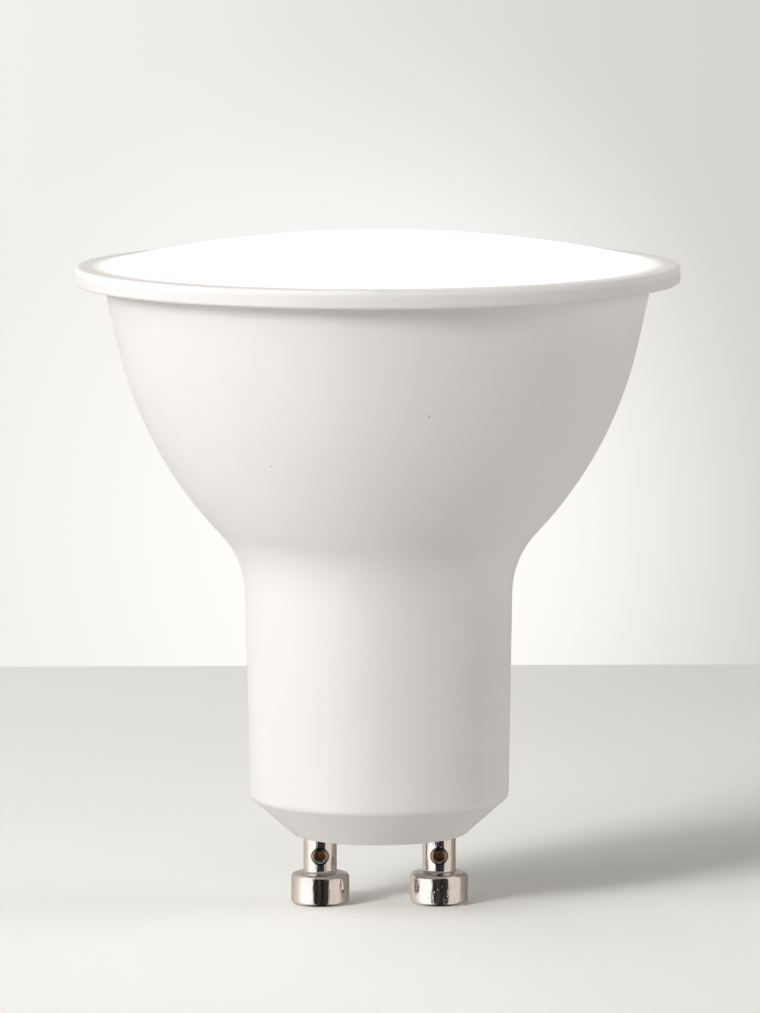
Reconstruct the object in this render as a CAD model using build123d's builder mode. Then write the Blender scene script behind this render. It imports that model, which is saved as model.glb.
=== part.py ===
from build123d import *
from math import cos, radians, sqrt, tan
import os

# A 50 mm spotlight lamp with a two-pin twist-lock cap: moulded housing, clipped opal lens, LED board on
# a pressed cup, and a driver board in the neck. Millimetres. The lamp's axis is +Z, X runs through both
# contact pins, and z = 0 is the feet of the pins.

# Contact pins
pin_spacing = 10.0
pin_head_radius = 2.45
pin_head_height = 2.6
pin_head_slope = 0.2
pin_head_edge = 0.45
pin_stem_radius = 1.4
pin_stem_foot = 0.2
pin_bore_radius = 0.75
pin_bore_floor = 0.9
pin_flare_radius = 1.95
pin_flare_height = 0.55
pin_clearance = 0.05
crimp_height = 4.18
crimp_dish_radius = 0.62
crimp_dish_angle = 100.0
crimp_hole_radius = 0.42
crimp_lip = 0.12

# Outside of the moulded body, from the pins upwards
grip_length = 3.24
base_bottom_radius = 7.3
base_height = 3.17
base_edge_radius = 10.85
base_edge_rounding = 0.5
base_foot_rounding = 0.35
neck_length = 20.12
neck_draft = 1.15
neck_rounding = 7.6
shoulder_height = 8.95
shoulder_angle = 43.3
bowl_height = 14.12
bowl_draft = 12.65
bowl_rounding = 33.5
flange_overhang = 2.38
flange_thickness = 1.5
flange_top_rounding = 0.35
flange_under_rounding = 0.25
flange_root_rounding = 0.3

# Inside of the moulded body
wall = 1.4
boss_radius = 2.9
boss_height = 1.6
guide_thickness = 1.0
guide_reach = 1.6
guide_length = 16.0
guide_slack = 0.15
cup_rib_count = 6
cup_rib_thickness = 1.2
cup_rib_reach = 3.0
cup_rib_height = 6.5

# Opal lens
rim_width = 2.36
lens_clearance = 0.05
lens_stand = 0.1
lens_edge_thickness = 1.4
lens_rise = 2.5
lens_thickness = 1.5
lens_edge_rounding = 0.3
clip_count = 4
clip_width = 5.0
clip_thickness = 1.1
clip_length = 3.4
clip_gap = 0.35
clip_nose = 0.75
clip_nose_height = 0.8
groove_depth = 1.0
groove_slack = 0.1

# Pressed aluminium cup
cup_gap = 0.1
cup_thickness = 1.0
cup_depth = 12.4
cup_wall_height = 8.2
cup_corner = 1.4

# LED board and its two screws
led_board_thickness = 1.6
led_board_gap = 0.3
led_count = 8
led_circle = 11.5
led_length = 3.5
led_width = 2.8
led_height = 0.8
led_pocket_radius = 1.1
led_pocket_depth = 0.15
screw_offset = 7.5
screw_radius = 1.1
screw_hole_gap = 0.1
screw_head_radius = 2.1
screw_head_height = 1.3
screw_tip = 1.8
screw_slot_width = 0.6
screw_slot_depth = 0.6

# Driver board, which stands in the guides behind the axis
board_front_y = 2.0
board_thickness = 1.0
board_edge_gap = 0.35
board_stop = 0.9
board_top_gap = 1.6
board_corner = 1.0
hole_gap = 0.1
component_gap = 0.1

# Wires inside the lamp
supply_wire_radius = 0.5
supply_wire_row = 3.2
supply_wire_bend = 1.2
led_lead_radius = 0.45
led_lead_spacing = 2.4
led_lead_y = 4.6
led_lead_bend = 0.9
led_lead_arch = 1.9
led_lead_span = 2.9
led_lead_drop = 2.4
lead_slot_gap = 0.5

# Through-hole parts on the front of the driver board
input_capacitor_radius = 4.0
input_capacitor_length = 10.0
input_capacitor_x = -3.9
output_capacitor_radius = 3.15
output_capacitor_length = 9.0
output_capacitor_x = 4.6
capacitor_groove = 0.3
capacitor_groove_height = 1.4
capacitor_rounding = 0.4
capacitor_pin_radius = 0.3
capacitor_pin_spacing = 2.5
capacitor_pin_run = 1.3
capacitor_top_gap = 1.8
fuse_radius = 1.3
fuse_length = 6.0
fuse_cap_length = 1.2
fuse_waist = 0.25
fuse_rounding = 0.3
fuse_row = 2.2
fuse_lead_radius = 0.3
fuse_lead_run = 0.75
fuse_lead_bend = 0.5
fuse_standoff = 0.5

# Choke: two E-shaped cores, a bobbin and its winding
core_width = 10.2
core_half_height = 4.2
core_depth = 4.8
core_leg = 1.25
core_middle_leg = 2.4
core_back = 1.3
bobbin_wall = 0.5
bobbin_flange = 0.6
bobbin_depth = 8.4
bobbin_gap = 0.1
winding_margin = 0.3
winding_rounding = 0.8

# Flat parts on the back of the driver board: the bridge rectifier is placed from the board's lower edge,
# the diode and the resistors from its upper edge, and the driver chip in the middle of what is left
bridge_row = 6.0
bridge_size = (4.7, 3.9, 2.4)
chip_size = (4.9, 3.9, 1.5)
diode_drop = 8.2
diode_size = (4.3, 2.6, 2.1)
resistor_drop = 4.0
resistor_spacing = 5.0
resistor_size = (3.2, 1.6, 0.6)
bypass_rise = 3.5
bypass_x = -5.6
bypass_size = (2.0, 1.25, 1.25)
bridge_lead_pitch = 2.5
bridge_lead_width = 0.7
chip_lead_pitch = 1.27
chip_lead_width = 0.42
diode_lead_width = 1.4
gull_lead_thickness = 0.2
gull_lead_reach = 1.05
chip_chamfer = 0.25
chip_cap_length = 0.45
chip_cap_wrap = 0.05

# Heights that follow from the lengths above
base_bottom_z = pin_head_height + pin_head_slope + grip_length
base_edge_z = base_bottom_z + base_height
neck_corner_z = base_edge_z + neck_length
bowl_corner_z = neck_corner_z + shoulder_height
flange_bottom_z = bowl_corner_z + bowl_height
rim_top_z = flange_bottom_z + flange_thickness
floor_z = base_bottom_z + wall
boss_top_z = floor_z + boss_height
lens_edge_z = rim_top_z + lens_stand
lens_seat_z = lens_edge_z - lens_edge_thickness
clip_bottom_z = lens_seat_z - clip_length
cup_floor_z = flange_bottom_z - cup_depth
led_board_z = cup_floor_z + cup_thickness
led_board_top_z = led_board_z + led_board_thickness
board_bottom_z = base_edge_z + board_stop
board_top_z = cup_floor_z - board_top_gap

# Radii that follow from the angles above
neck_corner_radius = base_edge_radius + neck_length * tan(radians(neck_draft))
bowl_corner_radius = neck_corner_radius + shoulder_height * tan(radians(shoulder_angle))
body_top_radius = bowl_corner_radius + bowl_height * tan(radians(bowl_draft))
body_rim_radius = body_top_radius + flange_thickness * tan(radians(bowl_draft))
flange_radius = body_top_radius + flange_overhang
lens_seat_radius = flange_radius - rim_width
clip_radius = body_top_radius - clip_length * tan(radians(bowl_draft)) - wall - clip_gap

os.makedirs("parts", exist_ok=True)


def write_piece(piece, name):
    """Label a finished piece and write it under its own name."""
    piece.label = name
    export_step(piece, f"parts/{name}.step")


# Rounding of the bowl, limited by the slant that it shares with the neck's rounding
shoulder_slant = shoulder_height / cos(radians(shoulder_angle))
neck_tangent = neck_rounding * tan(radians(shoulder_angle - neck_draft) / 2)
bowl_half_turn = radians(shoulder_angle - bowl_draft) / 2
bowl_fillet = min(bowl_rounding, (shoulder_slant - neck_tangent) / tan(bowl_half_turn))


def inset_section(inset, low_z, high_z, from_radius=0.0):
    """Right half of the body's section moved in by an inset, kept between two heights."""
    open_top_z = rim_top_z + 2 * wall
    with BuildSketch(Plane.XZ) as section:
        with BuildLine():
            FilletPolyline(
                (0, base_bottom_z),
                (base_bottom_radius, base_bottom_z),
                (base_edge_radius, base_edge_z),
                (neck_corner_radius, neck_corner_z),
                (bowl_corner_radius, bowl_corner_z),
                (body_rim_radius, rim_top_z),
                (body_rim_radius, open_top_z),
                (0, open_top_z),
                radius=[0, 0, 0, neck_rounding, bowl_fillet, 0, 0, 0],
                close=True,
            )
        make_face()
        mirror(about=Plane.YZ)
        if inset:
            offset(amount=-inset, kind=Kind.INTERSECTION)
        with Locations((from_radius, low_z)):
            Rectangle(flange_radius, high_z - low_z, align=(Align.MIN, Align.MIN), mode=Mode.INTERSECT)
    return section.sketch


# Ribs and bosses inside the housing, each run out to the middle of the wall
neck_bore_radius = base_edge_radius - wall
board_half_width = sqrt(neck_bore_radius**2 - (board_front_y + board_thickness) ** 2) - board_edge_gap
guide_root_z = base_bottom_z + wall / 2
guide_inner_x = board_half_width - guide_reach
guide_centre_y = board_front_y + board_thickness / 2
guide_offset = (board_thickness + guide_thickness) / 2 + guide_slack
pin_places = [(-pin_spacing / 2, 0), (pin_spacing / 2, 0)]
with BuildPart() as inner_ribs:
    with BuildSketch(Plane.XY.offset(guide_root_z)):
        with Locations(*pin_places):
            Circle(boss_radius)
    extrude(amount=boss_top_z - guide_root_z)
    with BuildSketch(Plane.XY.offset(guide_root_z)):
        for side in (-1, 1):
            with Locations((guide_inner_x, guide_centre_y + side * guide_offset)):
                Rectangle(base_edge_radius, guide_thickness, align=(Align.MIN, Align.CENTER))
        mirror(about=Plane.YZ)
    extrude(amount=board_bottom_z + guide_length - guide_root_z)
    with BuildSketch(Plane.XY.offset(guide_root_z)):
        with Locations((guide_inner_x, guide_centre_y)):
            Rectangle(base_edge_radius, 2 * guide_offset, align=(Align.MIN, Align.CENTER))
        mirror(about=Plane.YZ)
    extrude(amount=board_bottom_z - guide_root_z)
    revolve(inset_section(wall / 2, base_bottom_z, rim_top_z), axis=Axis.Z, mode=Mode.INTERSECT)

# One rib under the cup's floor, on the X side of the bowl
cup_seat_radius = inset_section(wall + cup_gap, cup_floor_z - cup_thickness, cup_floor_z).bounding_box().max.X
with BuildPart() as cup_rib:
    extrude(
        inset_section(wall / 2, cup_floor_z - cup_rib_height, cup_floor_z, cup_seat_radius - cup_rib_reach),
        amount=cup_rib_thickness / 2,
        both=True,
    )

# Housing: base, neck, bowl and flange moulded as one shell
with BuildPart() as housing:
    revolve(inset_section(0, base_bottom_z, rim_top_z), axis=Axis.Z)
    rings = edges().filter_by(GeomType.CIRCLE)
    fillet(rings.filter_by_position(Axis.Z, base_edge_z, base_edge_z), base_edge_rounding)
    fillet(rings.filter_by_position(Axis.Z, base_bottom_z, base_bottom_z), base_foot_rounding)
    with BuildSketch(Plane.XY.offset(flange_bottom_z)):
        Circle(flange_radius)
    extrude(amount=flange_thickness)
    rings = edges().filter_by(GeomType.CIRCLE)
    fillet(rings.filter_by_position(Axis.Z, rim_top_z, rim_top_z), flange_top_rounding)
    under_rings = rings.filter_by_position(Axis.Z, flange_bottom_z, flange_bottom_z).sort_by(SortBy.RADIUS)
    fillet(under_rings[-1], flange_under_rounding)
    fillet(under_rings[0], flange_root_rounding)
    revolve(inset_section(wall, floor_z, lens_seat_z), axis=Axis.Z, mode=Mode.SUBTRACT)
    with BuildSketch(Plane.XY.offset(lens_seat_z)):
        Circle(lens_seat_radius)
    extrude(amount=rim_top_z - lens_seat_z, mode=Mode.SUBTRACT)
    with BuildSketch(Plane.XY.offset(clip_bottom_z)):
        Circle(clip_radius + clip_gap + groove_depth)
    extrude(amount=clip_nose_height + 2 * groove_slack, mode=Mode.SUBTRACT)
    add(inner_ribs.part)
    with PolarLocations(0, cup_rib_count, start_angle=90 / cup_rib_count):
        add(cup_rib.part)
    with BuildSketch(Plane.XY.offset(base_bottom_z)):
        with Locations(*pin_places):
            Circle(pin_stem_radius + pin_clearance)
    extrude(amount=boss_top_z - base_bottom_z, mode=Mode.SUBTRACT)
write_piece(housing.part, "housing")

# Opal lens: a shallow dome that sits on the ledge in the rim, with clips down into the groove
lens_radius = lens_seat_radius - lens_clearance
lens_crest_z = lens_edge_z + lens_rise
ledge_radius = inset_section(wall, lens_seat_z - wall, lens_seat_z).bounding_box().max.X
dome_radius = (lens_radius**2 + lens_rise**2) / (2 * lens_rise)
hollow_rise = lens_crest_z - lens_thickness - lens_seat_z
hollow_radius = (ledge_radius**2 + hollow_rise**2) / (2 * hollow_rise)
clip_nose_z = clip_bottom_z + groove_slack
with BuildPart() as lens_clip:
    with BuildSketch(Plane.XZ):
        with BuildLine():
            Polyline(
                (clip_radius - clip_thickness, clip_bottom_z),
                (clip_radius, clip_bottom_z),
                (clip_radius + clip_nose, clip_nose_z + clip_nose_height / 2),
                (clip_radius + clip_nose, clip_nose_z + clip_nose_height),
                (clip_radius, clip_nose_z + clip_nose_height),
                (clip_radius, lens_seat_z + lens_edge_thickness / 2),
                (clip_radius - clip_thickness, lens_seat_z + lens_edge_thickness / 2),
                close=True,
            )
        make_face()
    extrude(amount=clip_width / 2, both=True)
with BuildPart() as diffuser_lens:
    with BuildSketch(Plane.XZ):
        with BuildLine():
            Line((0, lens_crest_z - lens_thickness), (0, lens_crest_z))
            RadiusArc((0, lens_crest_z), (lens_radius, lens_edge_z), dome_radius)
            Polyline((lens_radius, lens_edge_z), (lens_radius, lens_seat_z), (ledge_radius, lens_seat_z))
            RadiusArc((ledge_radius, lens_seat_z), (0, lens_crest_z - lens_thickness), -hollow_radius)
        make_face()
        fillet(vertices().sort_by_distance((lens_radius, lens_edge_z))[0], lens_edge_rounding)
    revolve(axis=Axis.Z)
    with PolarLocations(0, clip_count, start_angle=180 / clip_count):
        add(lens_clip.part)
write_piece(diffuser_lens.part, "diffuser_lens")

# Pressed cup: a thin floor and wall that line the bowl and carry the LED board
cup_rim_z = cup_floor_z + cup_wall_height
lead_slot_radius = led_lead_radius + lead_slot_gap
led_screw_places = [(-screw_offset, 0), (screw_offset, 0)]
with BuildPart() as heat_sink_cup:
    revolve(inset_section(wall + cup_gap, cup_floor_z, cup_rim_z), axis=Axis.Z)
    fillet(edges().filter_by(GeomType.CIRCLE).group_by(Axis.Z)[0], cup_corner)
    revolve(
        inset_section(wall + cup_gap + cup_thickness, led_board_z, cup_rim_z),
        axis=Axis.Z,
        mode=Mode.SUBTRACT,
    )
    with BuildSketch(Plane.XY.offset(cup_floor_z)):
        with Locations((0, led_lead_y)):
            SlotCenterToCenter(led_lead_spacing, 2 * lead_slot_radius)
        with Locations(*led_screw_places):
            Circle(screw_radius + screw_hole_gap)
    extrude(amount=cup_thickness, mode=Mode.SUBTRACT)
write_piece(heat_sink_cup.part, "heat_sink_cup")

# LED board: an aluminium disc on the cup's floor, with a slot for the leads and two screw holes
floor_inner_radius = inset_section(
    wall + cup_gap + cup_thickness, led_board_z - cup_thickness, led_board_z
).bounding_box().max.X
led_board_radius = floor_inner_radius - led_board_gap
with BuildPart() as led_board:
    with BuildSketch(Plane.XY.offset(led_board_z)):
        Circle(led_board_radius)
        with Locations((0, led_lead_y)):
            SlotCenterToCenter(led_lead_spacing, 2 * lead_slot_radius, mode=Mode.SUBTRACT)
        with Locations(*led_screw_places):
            Circle(screw_radius + screw_hole_gap, mode=Mode.SUBTRACT)
    extrude(amount=led_board_thickness)
write_piece(led_board.part, "led_board")

# LEDs: flat packages in a ring, each with a round pocket for its phosphor
for number in range(led_count):
    led_turn = (number + 0.5) * 360 / led_count
    led_plane = Plane.XY.offset(led_board_top_z).rotated((0, 0, led_turn))
    with BuildPart() as led:
        with BuildSketch(led_plane):
            with Locations((led_circle, 0)):
                Rectangle(led_width, led_length)
        extrude(amount=led_height)
        chamfer(edges().filter_by(Axis.Z).sort_by_distance((0, 0, 0))[0], led_pocket_depth)
        with BuildSketch(led_plane.offset(led_height)):
            with Locations((led_circle, 0)):
                Circle(led_pocket_radius)
        extrude(amount=-led_pocket_depth, mode=Mode.SUBTRACT)
    write_piece(led.part, f"led_{number + 1}")

# Two pan-head screws that hold the LED board down on the cup
screw_length = led_board_thickness + cup_thickness + screw_tip
with BuildPart() as screw:
    with BuildSketch(Plane.XZ):
        with BuildLine():
            Polyline(
                (0, -screw_length),
                (screw_radius / 2, -screw_length),
                (screw_radius, -screw_length + screw_radius),
                (screw_radius, 0),
                (screw_head_radius, 0),
                (screw_head_radius, screw_head_height / 2),
                (screw_radius, screw_head_height),
                (0, screw_head_height),
                close=True,
            )
        make_face()
    revolve(axis=Axis.Z)
    with BuildSketch(Plane.XY.offset(screw_head_height)):
        Rectangle(2 * screw_radius, screw_slot_width)
        Rectangle(screw_slot_width, 2 * screw_radius)
    extrude(amount=-screw_slot_depth, mode=Mode.SUBTRACT)
with BuildPart() as board_screws:
    with Locations(*[(x, y, led_board_top_z) for x, y in led_screw_places]):
        add(screw.part)
write_piece(board_screws.part, "board_screws")

# Contact pins: turned studs with a hollow stem, flared over the boss and pricked to grip the wire
stem_start_z = pin_head_height + pin_head_slope
pin_top_z = boss_top_z + pin_flare_height
bore_floor_z = stem_start_z + pin_bore_floor
for side, name in ((-1, "contact_pin_left"), (1, "contact_pin_right")):
    pin_x = side * pin_spacing / 2
    with BuildPart() as contact_pin:
        with BuildSketch(Plane.XZ):
            with BuildLine():
                Polyline(
                    (pin_x, 0),
                    (pin_x + pin_head_radius, 0),
                    (pin_x + pin_head_radius, pin_head_height),
                    (pin_x + pin_stem_radius, stem_start_z),
                    (pin_x + pin_stem_radius, boss_top_z),
                    (pin_x + pin_flare_radius, boss_top_z),
                    (pin_x + pin_flare_radius, boss_top_z + pin_flare_height / 2),
                    (pin_x + pin_bore_radius, pin_top_z),
                    (pin_x + pin_bore_radius, bore_floor_z),
                    (pin_x, bore_floor_z),
                    close=True,
                )
            make_face()
        revolve(axis=Axis((pin_x, 0, 0), (0, 0, 1)))
        head_rings = edges().filter_by(GeomType.CIRCLE)
        fillet(head_rings.filter_by_position(Axis.Z, 0, 0), pin_head_edge)
        fillet(head_rings.filter_by_position(Axis.Z, pin_head_height, pin_head_height), pin_head_edge)
        fillet(head_rings.filter_by_position(Axis.Z, stem_start_z, stem_start_z), pin_stem_foot)
        crimp_plane = Plane.XZ.offset(pin_stem_radius)
        with Locations(crimp_plane.location * Pos(pin_x, crimp_height)):
            CounterSinkHole(
                crimp_hole_radius,
                crimp_dish_radius,
                depth=pin_stem_radius,
                counter_sink_angle=crimp_dish_angle,
            )
        fillet(edges(Select.LAST).sort_by(Axis.Y)[0], crimp_lip)
    write_piece(contact_pin.part, name)

# Places on the driver board
board_back_y = board_front_y + board_thickness
board_front = Plane.XZ.offset(-board_front_y)
supply_wire_z = board_bottom_z + supply_wire_row
fuse_z = board_bottom_z + fuse_row
fuse_y = board_front_y - fuse_standoff - fuse_radius
fuse_lead_x = fuse_length / 2 + fuse_lead_run
capacitor_top_z = board_top_z - capacitor_top_gap
capacitors = [
    ("input_capacitor", input_capacitor_radius, input_capacitor_length, input_capacitor_x),
    ("output_capacitor", output_capacitor_radius, output_capacitor_length, output_capacitor_x),
]
fuse_holes = [(side * fuse_lead_x, fuse_z, fuse_lead_radius) for side in (-1, 1)]
capacitor_holes = [
    (
        x + side * capacitor_pin_spacing / 2,
        capacitor_top_z - length - capacitor_pin_run,
        capacitor_pin_radius,
    )
    for _, _, length, x in capacitors
    for side in (-1, 1)
]

# Driver board
with BuildPart() as driver_board:
    with BuildSketch(board_front):
        with Locations((0, board_bottom_z)):
            Rectangle(2 * board_half_width, board_top_z - board_bottom_z, align=(Align.CENTER, Align.MIN))
        chamfer(vertices(), board_corner)
        for x, z, radius in fuse_holes + capacitor_holes:
            with Locations((x, z)):
                Circle(radius + hole_gap, mode=Mode.SUBTRACT)
    extrude(amount=-board_thickness)
write_piece(driver_board.part, "driver_board")

# Supply wires, from the bore of each pin up and back to the driver board
for side, name in ((-1, "supply_wire_left"), (1, "supply_wire_right")):
    wire_x = side * pin_spacing / 2
    with BuildPart() as supply_wire:
        with BuildLine():
            FilletPolyline(
                (wire_x, 0, bore_floor_z),
                (wire_x, 0, supply_wire_z),
                (wire_x, board_front_y, supply_wire_z),
                radius=supply_wire_bend,
            )
        with BuildSketch(Plane.XY.offset(bore_floor_z)):
            with Locations((wire_x, 0)):
                Circle(supply_wire_radius)
        sweep()
    write_piece(supply_wire.part, name)

# LED leads, from the back of the driver board through both slots and over onto the LED board
led_lead_z = board_top_z - led_lead_drop
arch_z = led_board_top_z + led_lead_arch
for side, name in ((-1, "led_lead_left"), (1, "led_lead_right")):
    lead_x = side * led_lead_spacing / 2
    foot_x = lead_x + side * led_lead_span
    with BuildPart() as led_lead:
        with BuildLine():
            FilletPolyline(
                (lead_x, board_back_y, led_lead_z),
                (lead_x, led_lead_y, led_lead_z),
                (lead_x, led_lead_y, arch_z),
                (foot_x, led_lead_y, arch_z),
                (foot_x, led_lead_y, led_board_top_z),
                radius=led_lead_bend,
            )
        with BuildSketch(Plane.XZ.offset(-board_back_y)):
            with Locations((lead_x, led_lead_z)):
                Circle(led_lead_radius)
        sweep()
    write_piece(led_lead.part, name)

# Electrolytic capacitors, upright against the board with their pins bent back into it
for name, radius, length, x in capacitors:
    can_y = board_front_y - component_gap - radius
    can_z = capacitor_top_z - length
    groove_z = can_z + capacitor_groove_height
    pin_z = can_z - capacitor_pin_run
    with BuildPart() as capacitor:
        with BuildSketch(Plane.XZ.offset(-can_y)):
            with BuildLine():
                Polyline(
                    (x, can_z),
                    (x + radius, can_z),
                    (x + radius, groove_z - capacitor_groove),
                    (x + radius - capacitor_groove, groove_z),
                    (x + radius, groove_z + capacitor_groove),
                    (x + radius, capacitor_top_z),
                    (x, capacitor_top_z),
                    close=True,
                )
            make_face()
        revolve(axis=Axis((x, can_y, 0), (0, 0, 1)))
        can_rings = edges().filter_by(GeomType.CIRCLE)
        fillet(can_rings.filter_by_position(Axis.Z, capacitor_top_z, capacitor_top_z), capacitor_rounding)
        fillet(can_rings.filter_by_position(Axis.Z, can_z, can_z), capacitor_rounding)
        for side in (-1, 1):
            pin_x = x + side * capacitor_pin_spacing / 2
            with BuildLine() as pin_path:
                FilletPolyline(
                    (pin_x, can_y, can_z + capacitor_rounding),
                    (pin_x, can_y, pin_z),
                    (pin_x, board_back_y + component_gap, pin_z),
                    radius=2 * capacitor_pin_radius,
                )
            with BuildSketch(Plane((pin_x, can_y, can_z + capacitor_rounding), z_dir=(0, 0, -1))):
                Circle(capacitor_pin_radius)
            sweep(path=pin_path.line)
    write_piece(capacitor.part, name)

# Fuse resistor: a dumbbell body with bent leads, between the two supply wires
with BuildPart() as fuse_resistor:
    with BuildSketch(Plane.XZ.offset(-fuse_y)):
        with BuildLine():
            Polyline(
                (-fuse_length / 2, fuse_z),
                (-fuse_length / 2, fuse_z + fuse_radius),
                (-fuse_length / 2 + fuse_cap_length, fuse_z + fuse_radius),
                (-fuse_length / 2 + fuse_cap_length + fuse_waist, fuse_z + fuse_radius - fuse_waist),
                (fuse_length / 2 - fuse_cap_length - fuse_waist, fuse_z + fuse_radius - fuse_waist),
                (fuse_length / 2 - fuse_cap_length, fuse_z + fuse_radius),
                (fuse_length / 2, fuse_z + fuse_radius),
                (fuse_length / 2, fuse_z),
                close=True,
            )
        make_face()
    revolve(axis=Axis((0, fuse_y, fuse_z), (1, 0, 0)))
    fillet(edges().filter_by(GeomType.CIRCLE).group_by(Axis.X)[0], fuse_rounding)
    fillet(edges().filter_by(GeomType.CIRCLE).group_by(Axis.X)[-1], fuse_rounding)
    with BuildLine() as fuse_path:
        FilletPolyline(
            (-fuse_lead_x, board_back_y + component_gap, fuse_z),
            (-fuse_lead_x, fuse_y, fuse_z),
            (fuse_lead_x, fuse_y, fuse_z),
            (fuse_lead_x, board_back_y + component_gap, fuse_z),
            radius=fuse_lead_bend,
        )
    with BuildSketch(Plane.XZ.offset(-board_back_y - component_gap)):
        with Locations((-fuse_lead_x, fuse_z)):
            Circle(fuse_lead_radius)
    sweep(path=fuse_path.line)
write_piece(fuse_resistor.part, "fuse_resistor")

# Choke cores: two E shapes that meet end to end round the bobbin, midway between the supply wires below
# and the capacitors' pins above
core_y = board_front_y - bobbin_depth / 2
core_z = (supply_wire_z + supply_wire_radius + min(z for _, z, _ in capacitor_holes) - capacitor_pin_radius) / 2
window_width = (core_width - 2 * core_leg - core_middle_leg) / 2
window_height = core_half_height - core_back
for side, name in ((-1, "choke_core_lower"), (1, "choke_core_upper")):
    with BuildPart() as choke_core:
        with BuildSketch(Plane.XZ.offset(-core_y)):
            with Locations((0, core_z + side * core_half_height / 2)):
                Rectangle(core_width, core_half_height)
            window_x = (core_middle_leg + window_width) / 2
            window_z = core_z + side * window_height / 2
            with Locations((-window_x, window_z), (window_x, window_z)):
                Rectangle(window_width, window_height, mode=Mode.SUBTRACT)
        extrude(amount=core_depth / 2, both=True)
    write_piece(choke_core.part, name)

# Choke bobbin: a square tube with a flange at each end, its flanges against the board
bobbin_height = 2 * (window_height - bobbin_gap)
leg_hole = (core_middle_leg + 2 * bobbin_gap, core_depth + 2 * bobbin_gap)
tube = (leg_hole[0] + 2 * bobbin_wall, leg_hole[1] + 2 * bobbin_wall)
flange_width = core_width - 2 * core_leg - 2 * bobbin_gap
with BuildPart() as choke_bobbin:
    with BuildSketch(Plane.XY.offset(core_z - bobbin_height / 2)):
        with Locations((0, core_y)):
            Rectangle(*tube)
    extrude(amount=bobbin_height)
    with BuildSketch(
        Plane.XY.offset(core_z - bobbin_height / 2),
        Plane.XY.offset(core_z + bobbin_height / 2 - bobbin_flange),
    ):
        with Locations((0, core_y)):
            Rectangle(flange_width, bobbin_depth)
    extrude(amount=bobbin_flange)
    with BuildSketch(Plane.XY.offset(core_z - bobbin_height / 2)):
        with Locations((0, core_y)):
            Rectangle(*leg_hole)
    extrude(amount=bobbin_height, mode=Mode.SUBTRACT)
write_piece(choke_bobbin.part, "choke_bobbin")

# Choke winding, between the flanges
with BuildPart() as choke_winding:
    with BuildSketch(Plane.XY.offset(core_z - bobbin_height / 2 + bobbin_flange)):
        with Locations((0, core_y)):
            RectangleRounded(
                flange_width - 2 * winding_margin,
                bobbin_depth - 2 * winding_margin,
                winding_rounding,
            )
            Rectangle(*tube, mode=Mode.SUBTRACT)
    extrude(amount=bobbin_height - 2 * bobbin_flange)
write_piece(choke_winding.part, "choke_winding")


def moulded_chip(name, x, row, size, lead_places, lead_width):
    """Write a moulded part whose bent leads stand flat on the back of the driver board."""
    width, height, depth = size
    seat = Plane((x, board_back_y, board_bottom_z + row), x_dir=(-1, 0, 0), z_dir=(0, 1, 0))
    side = Plane(seat.origin, x_dir=seat.y_dir, z_dir=seat.x_dir)
    shoulder_height = depth / 2
    bend = height / 2 + gull_lead_reach / 2
    with BuildPart() as chip:
        with BuildSketch(*[side.offset(place - lead_width / 2) for place in lead_places]):
            with BuildLine():
                Polyline(
                    (0, shoulder_height),
                    (bend, shoulder_height),
                    (bend, gull_lead_thickness),
                    (height / 2 + gull_lead_reach, gull_lead_thickness),
                    (height / 2 + gull_lead_reach, 0),
                    (bend - gull_lead_thickness, 0),
                    (bend - gull_lead_thickness, shoulder_height - gull_lead_thickness),
                    (0, shoulder_height - gull_lead_thickness),
                    close=True,
                )
            make_face()
            mirror(about=Plane.YZ)
        extrude(amount=lead_width)
        with BuildSketch(seat.offset(gull_lead_thickness)):
            Rectangle(width, height)
        extrude(amount=depth - gull_lead_thickness)
        chamfer(faces().sort_by(Axis.Y)[-1].edges(), chip_chamfer)
    write_piece(chip.part, name)


def chip_block(name, x, row, size):
    """Write a small block with a cap at each end, flat on the back of the driver board."""
    width, height, depth = size
    seat = Plane((x, board_back_y, board_bottom_z + row), x_dir=(-1, 0, 0), z_dir=(0, 1, 0))
    with BuildPart() as block:
        with BuildSketch(seat):
            Rectangle(width, height - 2 * chip_cap_wrap)
        extrude(amount=depth - chip_cap_wrap)
        with BuildSketch(seat):
            with Locations(((chip_cap_length - width) / 2, 0), ((width - chip_cap_length) / 2, 0)):
                Rectangle(chip_cap_length, height)
        extrude(amount=depth)
    write_piece(block.part, name)


# Flat parts on the back of the driver board
diode_row = board_top_z - board_bottom_z - diode_drop
resistor_row = board_top_z - board_bottom_z - resistor_drop
chip_row = (bridge_row + bridge_size[1] / 2 + diode_row - diode_size[1] / 2) / 2
chip_leads = [chip_lead_pitch * (count - 1.5) for count in range(4)]
bridge_leads = [-bridge_lead_pitch / 2, bridge_lead_pitch / 2]
moulded_chip("bridge_rectifier", 0, bridge_row, bridge_size, bridge_leads, bridge_lead_width)
moulded_chip("driver_chip", 0, chip_row, chip_size, chip_leads, chip_lead_width)
moulded_chip("flyback_diode", 0, diode_row, diode_size, [0], diode_lead_width)
chip_block("sense_resistor_left", -resistor_spacing / 2, resistor_row, resistor_size)
chip_block("sense_resistor_right", resistor_spacing / 2, resistor_row, resistor_size)
chip_block("bypass_capacitor", bypass_x, chip_row + bypass_rise, bypass_size)
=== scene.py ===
"""Looks of a lit spotlight bulb with a twist-lock cap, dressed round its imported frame.

The lamp's axis is +Z, the contact pins stand along X with their feet at z = 0, and the photograph
looks along +Y. Values whose names end in _mm are millimetres, and become metres where a mesh or a
material is made.
"""

import logging
import math
from dataclasses import dataclass
from enum import Enum

import bpy
import numpy as np
from mathutils import Matrix, Vector


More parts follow.
